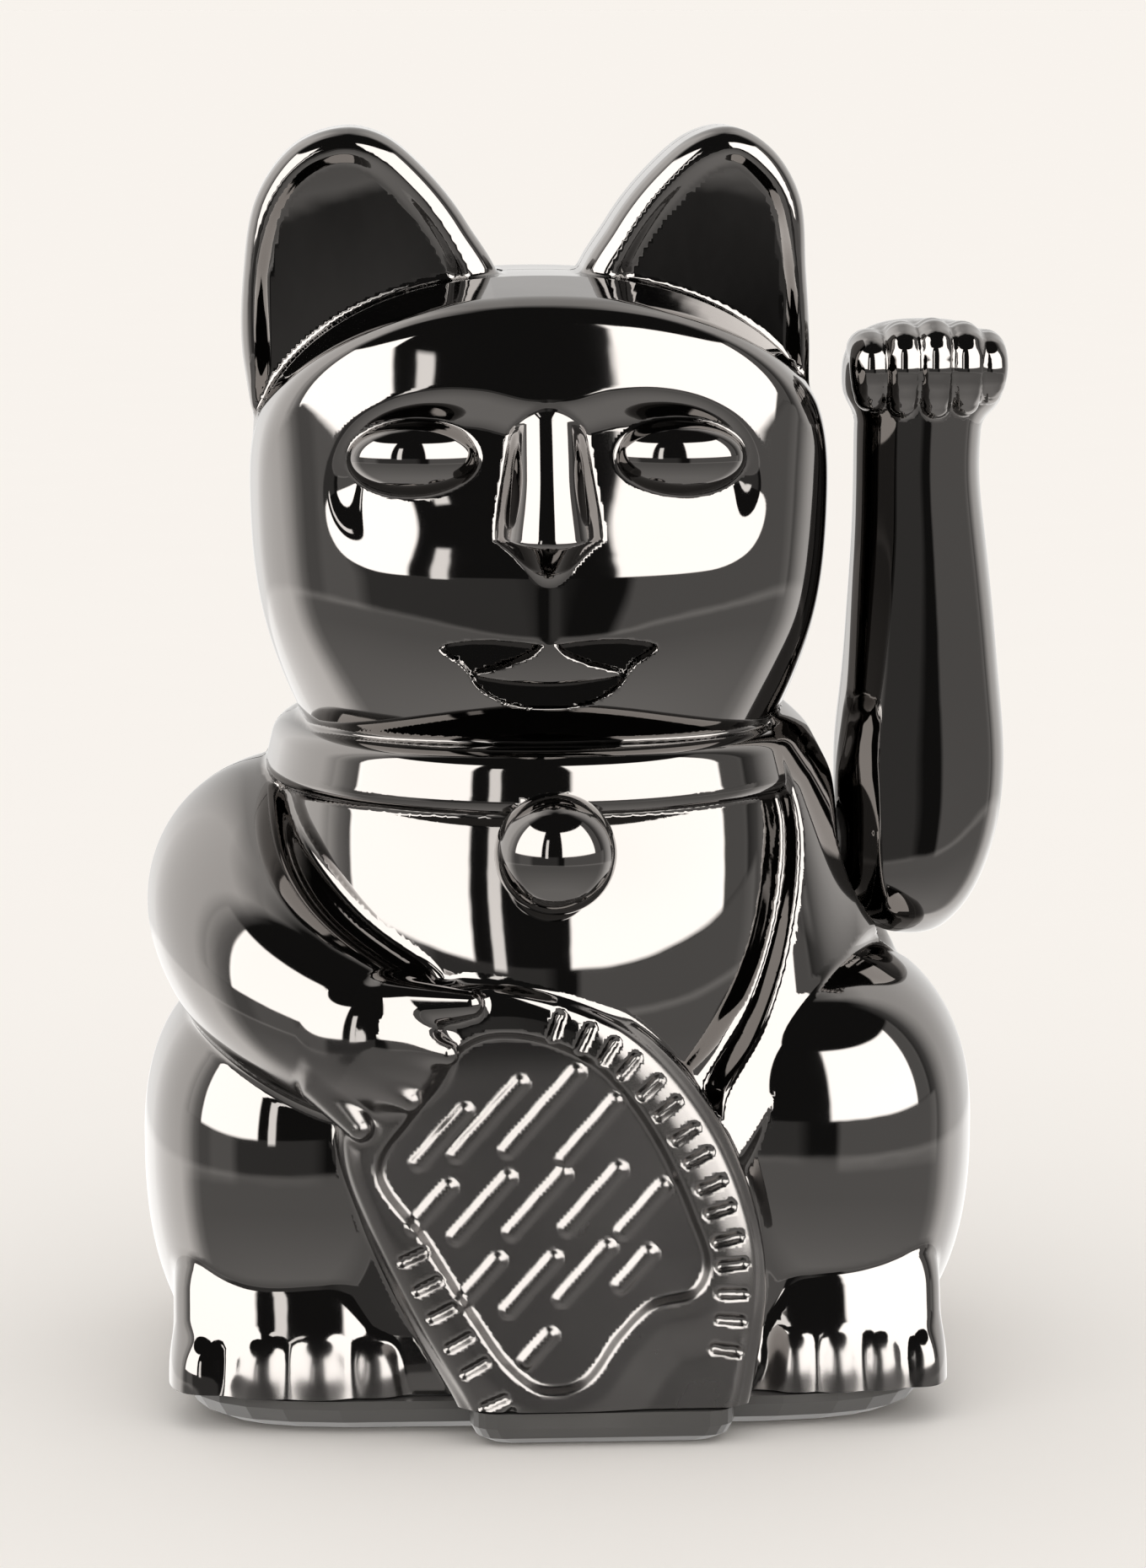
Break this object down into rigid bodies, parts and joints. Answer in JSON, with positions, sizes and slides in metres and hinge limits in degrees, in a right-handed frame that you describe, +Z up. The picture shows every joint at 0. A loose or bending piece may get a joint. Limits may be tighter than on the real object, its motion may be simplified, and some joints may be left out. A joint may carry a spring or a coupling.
{
  "type": "beckoning cat figurine",
  "caption": "Seated cat figurine in mirror-plated plastic, one raised arm swinging on an axle with a magnet pendulum and coil drive inside, cell behind a hinged door in the base.",
  "frame": {"origin": "underside of the base plate, below the middle of the head", "axes": "+Z up, the cat faces -Y, +X towards the side of the raised arm"},
  "size_m": [0.1048, 0.0917, 0.1499],
  "materials": {
    "plated_shell": "mirror black-chrome plating on moulded plastic",
    "black_plastic": "moulded, fine satin",
    "white_plastic": "moulded, natural",
    "cell_jacket": "printed sleeve with no marking",
    "plated_steel": "bright plated",
    "bronze": "sintered, oiled",
    "copper_wire": null,
    "magnet": "sintered, dark",
    "steel_weight": "sheared steel",
    "board": "solder mask over glass laminate",
    "component_black": "moulded epoxy",
    "component_blue": "sleeved can",
    "component_tan": "lacquered",
    "lead_red": "soft insulation",
    "lead_black": "soft insulation"
  },
  "bodies": {
    "body": {"front_shell": "plated_shell", "back_shell": "plated_shell", "base_plate": "black_plastic", "movement_frame": "white_plastic", "coil_bobbin": "white_plastic", "battery_cell": "cell_jacket", "contact_spring": "plated_steel", "contact_plate": "plated_steel", "switch_body": "plated_steel", "base_screw_1": "plated_steel", "base_screw_2": "plated_steel", "base_screw_3": "plated_steel", "base_screw_4": "plated_steel", "frame_screw_1": "plated_steel", "frame_screw_2": "plated_steel", "switch_screw_1": "plated_steel", "switch_screw_2": "plated_steel", "bush_inner": "bronze", "bush_outer": "bronze", "coil_winding": "copper_wire", "coil_lead_1": "copper_wire", "coil_lead_2": "copper_wire", "circuit_board": "board", "driver_ic": "component_black", "transistor": "component_black", "capacitor": "component_blue", "resistor": "component_tan", "lead_positive": "lead_red", "lead_negative": "lead_black", "lead_switch": "lead_black"},
    "arm": {"arm_front_half": "plated_shell", "arm_back_half": "plated_shell", "arm_hub": "black_plastic", "axle": "plated_steel", "pendulum_lever": "white_plastic", "drive_magnet": "magnet", "counterweight": "steel_weight"},
    "battery_door": {"battery_door": "black_plastic"},
    "switch_knob": {"switch_knob": "black_plastic"}
  },
  "joints": [
    {"name": "arm_swing", "type": "hinge", "parent": "body", "child": "arm", "pos_m": [0.02, 0, 0.063], "axis": [1, 0, 0], "range_deg": [-24, 28]},
    {"name": "battery_door_hinge", "type": "hinge", "parent": "body", "child": "battery_door", "pos_m": [-0.02, 0.0264, 0], "axis": [1, 0, 0], "range_deg": [0, 75]},
    {"name": "switch_slide", "type": "slide", "parent": "body", "child": "switch_knob", "axis": [0, 1, 0], "range_m": [0, 0.0026]}
  ]
}
